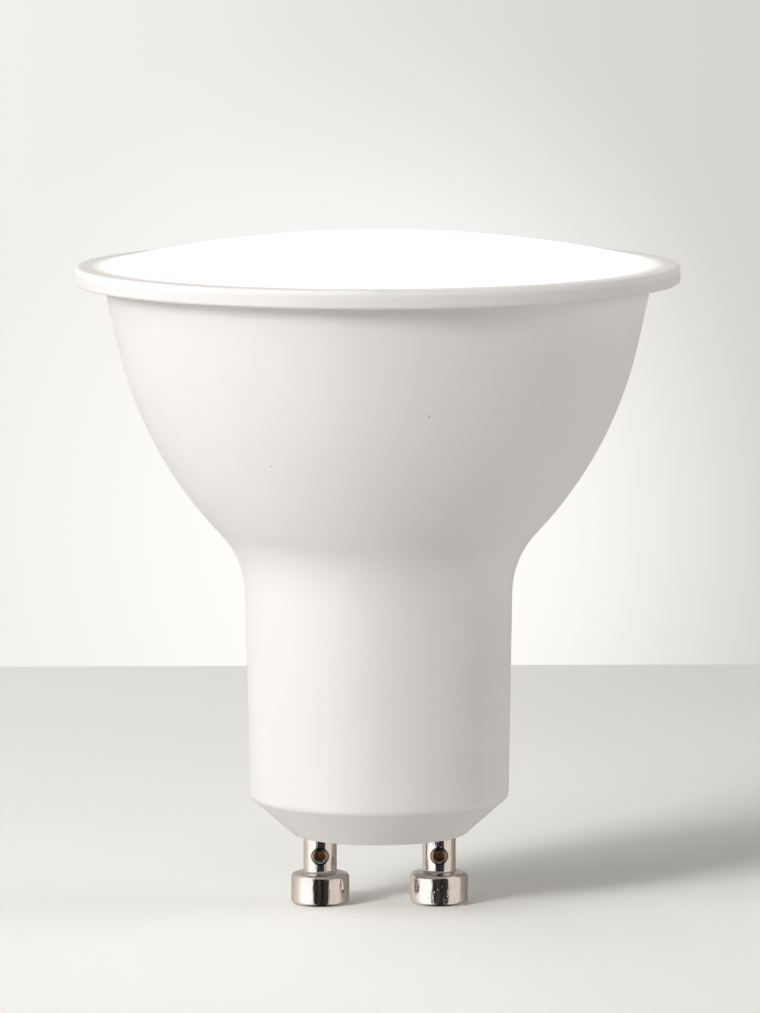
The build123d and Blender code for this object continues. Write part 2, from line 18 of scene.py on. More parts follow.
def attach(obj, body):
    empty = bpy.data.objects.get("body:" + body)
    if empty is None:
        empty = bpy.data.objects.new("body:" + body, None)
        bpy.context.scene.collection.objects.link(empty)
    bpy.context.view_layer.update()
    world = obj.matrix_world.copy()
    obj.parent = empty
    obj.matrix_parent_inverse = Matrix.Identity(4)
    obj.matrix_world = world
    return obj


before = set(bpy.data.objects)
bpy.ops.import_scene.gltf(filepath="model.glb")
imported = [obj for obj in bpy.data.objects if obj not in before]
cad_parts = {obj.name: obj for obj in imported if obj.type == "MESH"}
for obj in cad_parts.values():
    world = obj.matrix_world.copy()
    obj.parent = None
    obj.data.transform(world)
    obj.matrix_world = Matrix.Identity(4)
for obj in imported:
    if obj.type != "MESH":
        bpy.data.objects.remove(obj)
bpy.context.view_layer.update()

MM = 0.001

log = logging.getLogger("spotlight_bulb")

Tree = bpy.types.NodeTree
Node = bpy.types.Node
Socket = bpy.types.NodeSocket
Colour = tuple[float, float, float, float]


def linear(hex_code: str) -> Colour:
    """Turn an sRGB hex code into a linear colour.

    A level of 0.04045 or less is divided by 12.92. Above that it has 0.055 added, is divided by 1.055
    and is raised to the power 2.4.

    Args:
        hex_code: Six hex digits after a number sign.

    Returns:
        Linear red, green and blue, with an alpha of 1.
    """
    levels = (int(hex_code[start:start + 2], 16) / 255 for start in (1, 3, 5))
    red, green, blue = (
        level / 12.92 if level <= 0.04045 else ((level + 0.055) / 1.055) ** 2.4 for level in levels
    )
    return red, green, blue, 1.0


def add_node(
    tree: Tree,
    kind: str,
    inputs: dict[str | int, object] | None = None,
    stops: dict[float, str] | None = None,
    **settings: object,
) -> Node:
    """Add one shader node with its settings and links.

    Args:
        tree: Node tree that takes the node.
        kind: Blender's name for the node type, less the ShaderNode that it starts with.
        inputs: Socket name or number to a constant, or to the socket that drives it.
        stops: Positions and hex colours, where the node is a colour ramp.
        **settings: Attributes that are set on the node.

    Returns:
        The new node.
    """
    node = tree.nodes.new("ShaderNode" + kind)
    for name, value in settings.items():
        setattr(node, name, value)
    for key, value in (inputs or {}).items():
        if isinstance(value, Socket):
            tree.links.new(value, node.inputs[key])
        else:
            node.inputs[key].default_value = value
    if stops:
        elements = node.color_ramp.elements
        while len(elements) < len(stops):
            elements.new(1.0)
        for element, (position, hex_code) in zip(elements, stops.items()):
            element.position = position
            element.color = linear(hex_code)
    return node


class Grain(Enum):
    """How a surface was made: its noise's scale on X, Y and Z, low along the grain, and its detail."""

    MOULDED = ((1.0, 1.0, 1.0), 3.0)
    TURNED = ((0.06, 0.06, 1.0), 2.0)
    DRAWN = ((1.0, 1.0, 0.05), 2.0)
    FIRED = ((1.0, 1.0, 1.0), 6.0)


@dataclass(frozen=True)
class Finish:
    """One material: a base colour that drifts towards a shade, and a grain in its gloss and relief.

    The grain is the fine pattern that making leaves, and the cloud the slow one of an uneven mix.
    The real grain of these pieces is 0.02 to 0.1 mm wide, less than the picture shows, so it is drawn
    at 0.06 to 0.3 mm. A range is the levels of noise over which the colour or the gloss changes.
    Subclasses add what sets their material apart.
    """

    name: str
    colour: str
    shade: str
    roughness: float
    metallic: float = 0.0
    ior: float = 1.5
    grain: Grain = Grain.MOULDED
    grain_mm: float = 0.25
    grain_in_colour: float = 0.2
    relief_mm: float = 0.004
    cloud_mm: float = 9.0
    cloud_range: tuple[float, float] = (0.35, 0.65)
    gloss_spread: float = 0.05
    gloss_range: tuple[float, float] = (0.3, 0.7)
    coat: float = 0.0
    coat_roughness: float = 0.1
    subsurface: float = 0.0
    subsurface_mm: float = 1.0
    subsurface_tint: tuple[float, float, float] = (1.0, 0.92, 0.85)

    def position(self, tree: Tree) -> Socket:
        """Object coordinates, in metres."""
        return add_node(tree, "TexCoord").outputs["Object"]

    def along(self, tree: Tree, axis: int) -> Socket:
        """Object coordinate along X (0), Y (1) or Z (2), in metres."""
        return add_node(tree, "SeparateXYZ", {0: self.position(tree)}).outputs[axis]

    def radius(self, tree: Tree) -> Socket:
        """Distance from the lamp's axis, in metres: the length of the position without its height."""
        flat = add_node(tree, "VectorMath", {
            0: self.position(tree), 1: (1.0, 1.0, 0.0),
        }, operation="MULTIPLY")
        length = add_node(tree, "VectorMath", {0: flat.outputs[0]}, operation="LENGTH")
        return length.outputs["Value"]

    def grain_pattern(self, tree: Tree) -> Socket:
        """Make noise with cells as wide as the grain, drawn out along the way the piece was made.

        Args:
            tree: The material's nodes.

        Returns:
            The pattern, from 0 to 1.
        """
        scale, detail = self.grain.value
        place = add_node(tree, "Mapping", {"Vector": self.position(tree), "Scale": scale})
        noise = add_node(tree, "TexNoise", {
            "Vector": place.outputs[0], "Scale": 1 / (self.grain_mm * MM), "Detail": detail,
            "Roughness": 0.6,
        })
        return noise.outputs["Fac"]

    def base_colour(self, tree: Tree, grain: Socket) -> Socket:
        """Let the colour drift slowly towards its shade, with a little of the grain in it.

        Args:
            tree: The material's nodes.
            grain: The grain's pattern.

        Returns:
            The colour.
        """
        cloud = add_node(tree, "TexNoise", {
            "Vector": self.position(tree), "Scale": 1 / (self.cloud_mm * MM), "Detail": 3.0,
            "Roughness": 0.55,
        })
        drift = add_node(tree, "Mix", {
            "Factor": self.grain_in_colour, "A": cloud.outputs["Fac"], "B": grain,
        })
        ramp = add_node(tree, "ValToRGB", {"Fac": drift.outputs["Result"]}, {
            self.cloud_range[0]: self.shade, self.cloud_range[1]: self.colour,
        })
        return ramp.outputs["Color"]

    def relief(self, tree: Tree, grain: Socket) -> Socket:
        """Height of the surface, in shares of the relief: the grain alone."""
        return grain

    def paint(self, tree: Tree, shader: Node, mask: Socket, tone: str) -> None:
        """Lay a tone over the base colour.

        Args:
            tree: The material's nodes.
            shader: Its Principled BSDF.
            mask: 1 where the tone shows and 0 where it doesn't.
            tone: Its hex code.
        """
        body = shader.inputs["Base Color"].links[0].from_socket
        colour = add_node(tree, "Mix", {"Factor": mask, "A": body, "B": linear(tone)}, data_type="RGBA")
        tree.links.new(colour.outputs["Result"], shader.inputs["Base Color"])

    def dress(self, tree: Tree, shader: Node, box: np.ndarray) -> None:
        """Add what sets the material apart. A plain finish adds nothing.

        Args:
            tree: The material's nodes.
            shader: Its Principled BSDF.
            box: The piece's lowest and highest corner.
        """

    def build(self, box: np.ndarray) -> bpy.types.Material:
        """Make the material for one piece.

        Args:
            box: The piece's lowest and highest corner.

        Returns:
            The material.
        """
        material = bpy.data.materials.new(self.name)
        material.use_nodes = True
        tree = material.node_tree
        tree.nodes.clear()
        grain = self.grain_pattern(tree)
        roughness = add_node(tree, "MapRange", {
            "Value": grain, "From Min": self.gloss_range[0], "From Max": self.gloss_range[1],
            "To Min": self.roughness - self.gloss_spread, "To Max": self.roughness + self.gloss_spread,
        })
        bump = add_node(tree, "Bump", {
            "Height": self.relief(tree, grain), "Distance": self.relief_mm * MM,
        })
        shader = add_node(tree, "BsdfPrincipled", {
            "Base Color": self.base_colour(tree, grain),
            "Metallic": self.metallic, "Roughness": roughness.outputs["Result"], "IOR": self.ior,
            "Coat Weight": self.coat, "Coat Roughness": self.coat_roughness,
            "Subsurface Weight": self.subsurface,
            "Subsurface Radius": self.subsurface_tint,
            "Subsurface Scale": self.subsurface_mm * MM,
            "Normal": bump.outputs["Normal"],
        })
        self.dress(tree, shader, box)
        add_node(tree, "OutputMaterial", {"Surface": shader.outputs["BSDF"]})
        return material


@dataclass(frozen=True)
class MouldedHousing(Finish):
    """Glass-filled polyester, injection moulded in a spark-eroded tool.

    The tool leaves a fine even orange peel that breaks up the highlight, and the filler a few grey
    specks. The plastic is a little translucent. The rim's top has a painted glow: an emission that
    stands in for the lens's light spilling onto it.
    """

    speck_cell_mm: float = 7.0
    speck_mm: float = 0.14
    speck_colour: str = "#b3afa8"
    seat_radius_mm: float = 22.9
    # The glow fields below are painted light: an emission on the rim's top.
    painted_glow_reach_mm: float = 1.15
    painted_glow_from_z_mm: float = 53.3
    painted_glow_full_z_mm: float = 53.85
    painted_glow_colour: str = "#fffdf4"
    glow_strength: float = 0.5
    painted_glow_rest: float = 0.15

    def dress(self, tree: Tree, shader: Node, box: np.ndarray) -> None:
        """Scatter specks where a cell's centre lies at the surface, and light the rim's top.

        The painted glow falls off over its reach, going out from the lens's seat, and fades in with
        height.

        Args:
            tree: The material's nodes.
            shader: Its Principled BSDF.
            box: The piece's lowest and highest corner, not used here.
        """
        cells = add_node(tree, "TexVoronoi", {
            "Vector": self.position(tree), "Scale": 1 / (self.speck_cell_mm * MM),
        })
        reach = self.speck_mm / self.speck_cell_mm
        speck = add_node(tree, "MapRange", {
            "Value": cells.outputs["Distance"], "From Min": reach, "From Max": reach / 2,
        })
        self.paint(tree, shader, speck.outputs["Result"], self.speck_colour)
        # Painted glow: emission on the rim's top, in place of the lens's light spilling onto it.
        near = add_node(tree, "MapRange", {
            "Value": self.radius(tree),
            "From Min": (self.seat_radius_mm + self.painted_glow_reach_mm) * MM,
            "From Max": self.seat_radius_mm * MM,
            "To Min": self.painted_glow_rest, "To Max": self.glow_strength,
        })
        top = add_node(tree, "MapRange", {
            "Value": self.along(tree, 2),
            "From Min": self.painted_glow_from_z_mm * MM, "From Max": self.painted_glow_full_z_mm * MM,
        })
        glow = add_node(tree, "Math", {
            0: near.outputs["Result"], 1: top.outputs["Result"],
        }, operation="MULTIPLY")
        tree.links.new(glow.outputs[0], shader.inputs["Emission Strength"])
        shader.inputs["Emission Color"].default_value = linear(self.painted_glow_colour)


@dataclass(frozen=True)
class LitOpal(Finish):
    """Opal polycarbonate, injection moulded and polished, lit from behind.

    It scatters the light of the LED ring so well that the dome is an even white, a little warmer and
    dimmer over the last millimetres, where the rim hides the ring.
    """

    glow: str = "#fffffd"
    edge_glow: str = "#fff3dc"
    glow_strength: float = 1.15
    edge_start_mm: float = 21.2
    edge_end_mm: float = 22.9

    def dress(self, tree: Tree, shader: Node, box: np.ndarray) -> None:
        """Give the dome its own light, by distance from the lamp's axis.

        Args:
            tree: The material's nodes.
            shader: Its Principled BSDF.
            box: The piece's lowest and highest corner, not used here.
        """
        edge = add_node(tree, "MapRange", {
            "Value": self.radius(tree),
            "From Min": self.edge_start_mm * MM, "From Max": self.edge_end_mm * MM,
        }, interpolation_type="SMOOTHSTEP")
        glow = add_node(
            tree, "ValToRGB", {"Fac": edge.outputs["Result"]}, {0.0: self.glow, 1.0: self.edge_glow}
        )
        tree.links.new(glow.outputs["Color"], shader.inputs["Emission Color"])
        shader.inputs["Emission Strength"].default_value = self.glow_strength


@dataclass(frozen=True)
class PlatedPin(Finish):
    """Bright nickel plate on turned brass.

    The tool's rings still show faintly under the plate, handling has left short scratches and pits,
    and the plate has the faint yellow of nickel. Depths are shares of the relief, and a draw is a
    factor on a pattern's height, below 1 where it is drawn out. The real rings, pits and scratches
    are a few hundredths of a millimetre wide, and are drawn two or three times as coarse.
    """

    ring_depth: float = 0.15
    wave_mm: float = 0.5
    wave_draw: float = 0.45
    pit_cell_mm: float = 0.42
    pit_mm: float = 0.085
    pit_depth: float = 1.3
    rare_pit_depth: float = 0.2
    scuff_mm: float = 1.6
    scuff_range: tuple[float, float] = (0.43, 0.55)
    scratch_mm: float = 0.55
    scratch_draw: float = 0.2
    scratch_share: float = 0.05
    scratch_depth: float = 0.26
    crimp_height_mm: float = 4.18
    crimp_hole_mm: float = 0.42
    crimp_edge_mm: float = 0.03
    # Tones by distance from the crimp's axis, painting shade in and round the crimp. The hole is dark
    # brown, partly the flux's colour and partly painted shade. Its edge and the dish are a little darker,
    # and a dark ring round the dish is painted shade.
    flux_and_shade: str = "#33241a"
    flux_and_shade_mm: float = 0.4
    hole_edge_shade: str = "#6f665e"
    dish: str = "#e6dfd8"
    dish_mm: float = 0.6
    ring_shade: str = "#4a4441"
    ring_shade_mm: tuple[float, float] = (0.66, 0.72)
    unshaded_mm: float = 0.79

    def drawn_noise(self, tree: Tree, width_mm: float, draw: float, detail: float) -> Socket:
        """Make noise that is drawn out along the pin's axis.

        Args:
            tree: The material's nodes.
            width_mm: Width of its cells.
            draw: Factor on the height, below 1 to draw the cells out.
            detail: The noise's detail.

        Returns:
            The pattern, from 0 to 1.
        """
        place = add_node(tree, "Mapping", {"Vector": self.position(tree), "Scale": (1.0, 1.0, draw)})
        noise = add_node(tree, "TexNoise", {
            "Vector": place.outputs[0], "Scale": 1 / (width_mm * MM), "Detail": detail,
        })
        return noise.outputs["Fac"]

    def pits(self, tree: Tree) -> Socket:
        """Make round pits at the centres of cells, deep in scuffed patches and shallow elsewhere.

        Args:
            tree: The material's nodes.

        Returns:
            Their height, 0 on the plate and less in a pit.
        """
        patch = self.drawn_noise(tree, self.scuff_mm, 1.0, 2.0)
        deep = add_node(tree, "MapRange", {
            "Value": patch, "From Min": self.scuff_range[0], "From Max": self.scuff_range[1],
            "To Min": -self.rare_pit_depth, "To Max": -self.pit_depth,
        })
        cells = add_node(tree, "TexVoronoi", {
            "Vector": self.position(tree), "Scale": 1 / (self.pit_cell_mm * MM),
        })
        pit = add_node(tree, "MapRange", {
            "Value": cells.outputs["Distance"], "From Max": self.pit_mm / self.pit_cell_mm,
            "To Min": deep.outputs["Result"], "To Max": 0.0,
        }, interpolation_type="SMOOTHSTEP")
        return pit.outputs["Result"]

    def scratches(self, tree: Tree) -> Socket:
        """Make scratches along the axis, where a drawn-out noise crosses its middle value.

        Args:
            tree: The material's nodes.

        Returns:
            Their height, 0 on the plate and less in a scratch.
        """
        streak = self.drawn_noise(tree, self.scratch_mm, self.scratch_draw, 1.0)
        off_middle = add_node(tree, "Math", {0: streak, 1: 0.5}, operation="SUBTRACT")
        off_middle = add_node(tree, "Math", {0: off_middle.outputs[0]}, operation="ABSOLUTE")
        scratch = add_node(tree, "MapRange", {
            "Value": off_middle.outputs[0], "From Min": 0.0, "From Max": self.scratch_share,
            "To Min": -self.scratch_depth, "To Max": 0.0,
        }, interpolation_type="SMOOTHSTEP")
        return scratch.outputs["Result"]

    def relief(self, tree: Tree, grain: Socket) -> Socket:
        """Add up the plate's slow waviness, the tool's rings, the pits and the scratches.

        Args:
            tree: The material's nodes.
            grain: The grain's pattern, which makes the rings.

        Returns:
            Height of the surface, in shares of the relief.
        """
        rings = add_node(tree, "Math", {0: grain, 1: self.ring_depth}, operation="MULTIPLY")
        height = self.drawn_noise(tree, self.wave_mm, self.wave_draw, 1.5)
        for part in (rings.outputs[0], self.pits(tree), self.scratches(tree)):
            height = add_node(tree, "Math", {0: height, 1: part}, operation="ADD").outputs[0]
        return height

    def dress(self, tree: Tree, shader: Node, box: np.ndarray) -> None:
        """Paint flux and painted shade in the crimp's hole and painted shade round its dish, by distance
        from its axis.

        The back of the pin has no crimp, so a millimetre is added to the distance there.

        Args:
            tree: The material's nodes.
            shader: Its Principled BSDF.
            box: The piece's lowest and highest corner.
        """
        middle = box.mean(axis=0)
        offset = add_node(tree, "Mapping", {
            "Vector": self.position(tree), "Scale": (1 / MM, 0.0, 1 / MM),
            "Location": (-middle[0] / MM, 0.0, -self.crimp_height_mm),
        })
        length = add_node(tree, "VectorMath", {0: offset.outputs[0]}, operation="LENGTH")
        behind = add_node(tree, "Math", {
            0: self.along(tree, 1), 1: float(middle[1]),
        }, operation="GREATER_THAN")
        away = add_node(tree, "Math", {
            0: length.outputs["Value"], 1: behind.outputs[0],
        }, operation="ADD").outputs[0]
        # Painted shade in and round the crimp; the hole's brown is also the flux's colour.
        tone = add_node(tree, "ValToRGB", {"Fac": away}, {
            self.flux_and_shade_mm: self.flux_and_shade, self.crimp_hole_mm + self.crimp_edge_mm: self.hole_edge_shade,
            self.dish_mm: self.dish, self.ring_shade_mm[0]: self.ring_shade, self.ring_shade_mm[1]: self.ring_shade,
            self.unshaded_mm: "#ffffff",
        })
        plate = shader.inputs["Base Color"].links[0].from_socket
        colour = add_node(tree, "Mix", {
            "Factor": 1.0, "A": plate, "B": tone.outputs["Color"],
        }, data_type="RGBA", blend_type="MULTIPLY")
        # Inside the hole the surface is dull and mirrors nothing, as part of its painted shade.
        outside = add_node(tree, "MapRange", {
            "Value": away,
            "From Min": self.crimp_hole_mm - self.crimp_edge_mm,
            "From Max": self.crimp_hole_mm + self.crimp_edge_mm,
        }).outputs["Result"]
        tree.links.new(colour.outputs["Result"], shader.inputs["Base Color"])
        tree.links.new(outside, shader.inputs["Metallic"])
        tree.links.new(outside, shader.inputs["Specular IOR Level"])


@dataclass(frozen=True)
class StrippedWire(Finish):
    """Silicone-insulated wire, extruded, its lower end stripped to copper under a crust of flux.

    The crust is dull, and its brown is what the eye sees through the crimp's hole.
    """

    bare_top_mm: float = 8.5
    strands: str = "#c4905f"

    def dress(self, tree: Tree, shader: Node, box: np.ndarray) -> None:
        """Turn the wire to bare strands below the height of the stripping."""
        bare = add_node(tree, "Math", {
            0: self.along(tree, 2), 1: self.bare_top_mm * MM,
        }, operation="LESS_THAN")
        self.paint(tree, shader, bare.outputs[0], self.strands)


@dataclass(frozen=True)
class TinnedEnds(Finish):
    """A body whose ends along one axis are tinned: bent leads, end caps or lead wires."""

    axis: int = 2
    end_mm: float = 1.05
    tin: str = "#c9c9c6"

    def dress(self, tree: Tree, shader: Node, box: np.ndarray) -> None:
        """Turn the ends to bright tin by distance from the piece's middle.

        Args:
            tree: The material's nodes.
            shader: Its Principled BSDF.
            box: The piece's lowest and highest corner.
        """
        middle, half = box.mean(axis=0)[self.axis], np.ptp(box, axis=0)[self.axis] / 2
        away = add_node(tree, "Math", {0: self.along(tree, self.axis), 1: middle}, operation="SUBTRACT")
        away = add_node(tree, "Math", {0: away.outputs[0]}, operation="ABSOLUTE")
        end = add_node(tree, "Math", {
            0: away.outputs[0], 1: half - self.end_mm * MM,
        }, operation="GREATER_THAN")
        self.paint(tree, shader, end.outputs[0], self.tin)
        tree.links.new(end.outputs[0], shader.inputs["Metallic"])


@dataclass(frozen=True)
class BandedFuse(TinnedEnds):
    """Flame-proof enamel, fired on a dumbbell body with tinned leads, with plain colour bands.

    Each band is the place of its middle along X, in millimetres, and its tone.
    """

    bands: tuple[tuple[float, str], ...] = (
        (-1.9, "#6b4a2f"), (-0.8, "#1b1b1d"), (0.3, "#1b1b1d"), (1.7, "#b8963f"),
    )
    band_mm: float = 0.5

    def dress(self, tree: Tree, shader: Node, box: np.ndarray) -> None:
        """Paint the bands, and then the tinned ends.

        Args:
            tree: The material's nodes.
            shader: Its Principled BSDF.
            box: The piece's lowest and highest corner.
        """
        along_x = self.along(tree, 0)
        for middle, tone in self.bands:
            on_band = add_node(tree, "Math", {
                0: along_x, 1: middle * MM, 2: self.band_mm / 2 * MM,
            }, operation="COMPARE")
            self.paint(tree, shader, on_band.outputs[0], tone)
        TinnedEnds.dress(self, tree, shader, box)


@dataclass(frozen=True)
class CappedPart(Finish):
    """A piece with a second tone on the faces that look up, between two heights above its foot.

    It makes the aluminium top of a capacitor in its sleeve and the phosphor in an LED's pocket.
    """

    cap: str = "#cfd0d0"
    cap_from_mm: float = 0.0
    cap_to_mm: float = 100.0
    cap_metallic: float = 0.0
    cap_facing: float = 0.9

    def dress(self, tree: Tree, shader: Node, box: np.ndarray) -> None:
        """Paint the cap where the normal looks up and the height lies in its range.

        Args:
            tree: The material's nodes.
            shader: Its Principled BSDF.
            box: The piece's lowest and highest corner.
        """
        normal = add_node(tree, "NewGeometry").outputs["True Normal"]
        up = add_node(tree, "SeparateXYZ", {0: normal}).outputs["Z"]
        facing = add_node(tree, "Math", {0: up, 1: self.cap_facing}, operation="GREATER_THAN")
        low, high = (box[0][2] + edge * MM for edge in (self.cap_from_mm, self.cap_to_mm))
        within = add_node(tree, "Math", {
            0: self.along(tree, 2), 1: (low + high) / 2, 2: (high - low) / 2,
        }, operation="COMPARE")
        mask = add_node(tree, "Math", {
            0: facing.outputs[0], 1: within.outputs[0],
        }, operation="MULTIPLY").outputs[0]
        metal = add_node(tree, "Math", {0: mask, 1: self.cap_metallic}, operation="MULTIPLY")
        self.paint(tree, shader, mask, self.cap)
        tree.links.new(metal.outputs[0], shader.inputs["Metallic"])


@dataclass(frozen=True)
class TrackedBoard(Finish):
    """Circuit board under solder mask: copper tracks raise the mask and show a little through it."""

    run_mm: float = 11.0
    row_mm: float = 1.0
    track_mm: float = 0.35
    track_colour: str = "#2f7d4d"
    grain_share: float = 0.1
    upright: bool = True

    def tracks(self, tree: Tree) -> Socket:
        """Lay tracks in long straight runs that short ones join, as the joints of a wall do.

        An upright board has them in the plane of X and Z, and a flat one in the plane of X and Y.

        Args:
            tree: The material's nodes.

        Returns:
            1 on a track and 0 off it.
        """
        tilt = -math.pi / 2 if self.upright else 0.0
        place = add_node(tree, "Mapping", {"Vector": self.position(tree), "Rotation": (tilt, 0.0, 0.0)})
        joints = add_node(tree, "TexBrick", {
            "Vector": place.outputs[0], "Scale": 1 / MM, "Brick Width": self.run_mm,
            "Row Height": self.row_mm, "Mortar Size": self.track_mm / 2, "Mortar Smooth": 0.1,
        }, offset=0.37, offset_frequency=3, squash=0.6, squash_frequency=2)
        return joints.outputs["Fac"]

    def relief(self, tree: Tree, grain: Socket) -> Socket:
        """Height of the surface, in shares of the relief: the tracks, and a little of the grain."""
        fine = add_node(tree, "Math", {0: grain, 1: self.grain_share}, operation="MULTIPLY")
        height = add_node(tree, "Math", {0: self.tracks(tree), 1: fine.outputs[0]}, operation="ADD")
        return height.outputs[0]

    def dress(self, tree: Tree, shader: Node, box: np.ndarray) -> None:
        """Tint the mask over the copper."""
        self.paint(tree, shader, self.tracks(tree), self.track_colour)


def box_of(obj: bpy.types.Object) -> np.ndarray:
    """Find the box that an object's mesh fills.

    Args:
        obj: An object at the origin.

    Returns:
        Its lowest and highest corner as two rows, in metres.
    """
    points = np.empty(len(obj.data.vertices) * 3, dtype=np.float32)
    obj.data.vertices.foreach_get("co", points)
    points = points.reshape(-1, 3)
    return np.array([points.min(axis=0), points.max(axis=0)])


def dress(obj: bpy.types.Object, finish: Finish) -> None:
    """Give an object one finish in place of its own materials, and report it.

    Args:
        obj: The object.
        finish: Its finish.
    """
    material = finish.build(box_of(obj))
    obj.data.materials.clear()
    obj.data.materials.append(material)
    log.info("%s: %s", obj.name, finish.name)


def grid_mesh(name: str, rows: np.ndarray) -> bpy.types.Object:
    """Skin a grid of points: each row is a closed ring that joins the next, and both ends are filled.

    Args:
        name: The object's name.
        rows: Points in millimetres, shaped rows by columns by 3.

    Returns:
        The object, smooth shaded and linked to the scene.
    """
    count, width = rows.shape[:2]
    here = np.arange(count * width).reshape(count, width)
    beside = np.roll(here, -1, axis=1)
    quads = np.stack([here[:-1], beside[:-1], beside[1:], here[1:]], axis=-1).reshape(-1, 4)
    faces = quads.tolist() + [here[0][::-1].tolist(), here[-1].tolist()]
    mesh = bpy.data.meshes.new(name)
    mesh.from_pydata((rows.reshape(-1, 3) * MM).tolist(), [], faces)
    mesh.polygons.foreach_set("use_smooth", [True] * len(mesh.polygons))
    mesh.update()
    obj = bpy.data.objects.new(name, mesh)
    bpy.context.scene.collection.objects.link(obj)
    return obj


class SubAssembly:
    """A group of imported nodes, with the finish of each and any finer pieces of its own."""

    def finishes(self) -> dict[str, Finish]:
        """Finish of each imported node, by the node's name."""
        return {}

    def add_pieces(self) -> None:
        """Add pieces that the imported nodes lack. Most groups add none."""

    def build(self) -> None:
        """Dress the nodes and add the pieces."""
        for name, finish in self.finishes().items():
            dress(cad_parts[name], finish)
        self.add_pieces()


@dataclass
class Shell(SubAssembly):
    """Moulded housing and the opal lens that is clipped into it."""

    texture_mm: float = 0.3
    lens_radius_mm: float = 22.9

    def finishes(self) -> dict[str, Finish]:
        """Choose the finishes of the housing and the lens.

        Returns:
            Finish of each node, by its name.
        """
        # Moulded in a spark-eroded tool, it is an even satin white with soft wide highlights. Its
        # texture is really about 0.05 mm wide, and is drawn coarser to show.
        # Its rim's top carries a painted glow of the lens's light.
        housing = MouldedHousing(
            "polyester_moulded_white", "#dbd8d7", "#d7d4d3", 0.44, grain_mm=self.texture_mm,
            relief_mm=0.005, cloud_mm=14.0, subsurface=0.12, subsurface_mm=1.2,
            seat_radius_mm=self.lens_radius_mm,
        )
        # Polished in the tool, it is smooth, and its own light hides all but the edge.
        lens = LitOpal(
            "polycarbonate_opal_lit", "#ecece8", "#e6e6e0", 0.28, ior=1.58, relief_mm=0.001,
            edge_end_mm=self.lens_radius_mm,
        )
        return {"housing": housing, "diffuser_lens": lens}


@dataclass
class ContactPins(SubAssembly):
    """The two turned and plated contact pins."""

    ring_mm: float = 0.12

    def finishes(self) -> dict[str, Finish]:
        """Finish of each pin, by the node's name."""
        # Plated bright over turned brass, it mirrors the studio in upright stripes with wavy edges.
        nickel = PlatedPin(
            "nickel_plated_turned_brass", "#d9d3ce", "#cec7c1", 0.05, metallic=1.0, grain=Grain.TURNED,
            grain_mm=self.ring_mm, relief_mm=0.016, cloud_mm=1.6, gloss_spread=0.02,
        )
        return {"contact_pin_left": nickel, "contact_pin_right": nickel}


@dataclass
class LightEngine(SubAssembly):
    """Pressed cup, LED board, LEDs, screws and the leads that feed them."""

    led_count: int = 8
    led_circle_mm: float = 11.5
    pocket_radius_mm: float = 1.04
    pocket_floor_mm: float = 43.25
    crown_lift_mm: float = 0.02
    crown_mm: float = 0.1
    crown_rings: int = 7
    crown_sides: int = 24
    crown_pole: float = 0.04

    def finishes(self) -> dict[str, Finish]:
        """Choose the finishes from the cup up to the LEDs.

        Returns:
            Finish of each node, by its name.
        """
        # Moulded polyamide is a warm even white, and the phosphor in its pocket a deep yellow.
        led = CappedPart(
            "polyamide_led_package", "#f4f3ee", "#ebe9e2", 0.4, grain_mm=0.1, relief_mm=0.002,
            cloud_mm=1.5, cap="#e8c33c", cap_from_mm=0.5, cap_to_mm=0.7,
        )
        # Deep drawing stretches the sheet and leaves it cloudy, with fine streaks up the wall.
        cup = Finish(
            "aluminium_deep_drawn", "#c6c8ca", "#b4b7ba", 0.36, metallic=1.0, grain=Grain.DRAWN,
            grain_mm=0.2, relief_mm=0.004, cloud_mm=5.0, gloss_spread=0.08,
        )
        # A screened white mask is matt, and the wide copper areas under it show as faint steps.
        board = TrackedBoard(
            "aluminium_board_white_mask", "#f0f0ec", "#e8e8e3", 0.42, grain_mm=0.15, relief_mm=0.03,
            run_mm=7.5, row_mm=5.5, track_mm=0.4, track_colour="#e6e6e1", upright=False,
        )
        # Barrel plating leaves zinc bright but uneven, with small dull patches.
        screws = Finish(
            "steel_zinc_plated", "#c3c6c8", "#a7abae", 0.3, metallic=1.0, grain_mm=0.1, relief_mm=0.003,
            cloud_mm=1.0, gloss_spread=0.1,
        )
        # Extruded insulation has a soft sheen, and lines along the wire from the die.
        red = Finish("pvc_extruded_red", "#b3231d", "#9c1c18", 0.38, grain=Grain.DRAWN, cloud_mm=3.0)
        black = Finish("pvc_extruded_black", "#1d1d1f", "#151517", 0.38, grain=Grain.DRAWN, cloud_mm=3.0)
        return {f"led_{number + 1}": led for number in range(self.led_count)} | {
            "heat_sink_cup": cup, "led_board": board, "board_screws": screws,
            "led_lead_left": red, "led_lead_right": black,
        }

    def add_pieces(self) -> None:
        """Fill each LED's pocket with crowned silicone.

        A crown is a disc whose height falls with the square of the distance from its middle.
        """
        share = np.linspace(1.0, self.crown_pole, self.crown_rings)[:, None]
        turn = np.linspace(0, 2 * np.pi, self.crown_sides + 1)[None, :-1]
        # Silicone is cast soft and glossy, and its phosphor grains speckle it.
        finish = Finish(
            "silicone_phosphor_cast", "#f0c83a", "#e2b52c", 0.3, ior=1.41, grain=Grain.FIRED,
            grain_mm=0.06, cloud_mm=0.8, coat=0.3,
        )
        for number in range(self.led_count):
            angle = (number + 0.5) * 2 * np.pi / self.led_count
            x = self.led_circle_mm * np.cos(angle) + self.pocket_radius_mm * share * np.cos(turn)
            y = self.led_circle_mm * np.sin(angle) + self.pocket_radius_mm * share * np.sin(turn)
            z = self.pocket_floor_mm + self.crown_lift_mm + self.crown_mm * (1 - share**2) + 0 * turn
            fill = grid_mesh(f"phosphor_{number + 1}", np.stack([x, y, z], axis=-1))
            dress(fill, finish)
            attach(fill, "root")


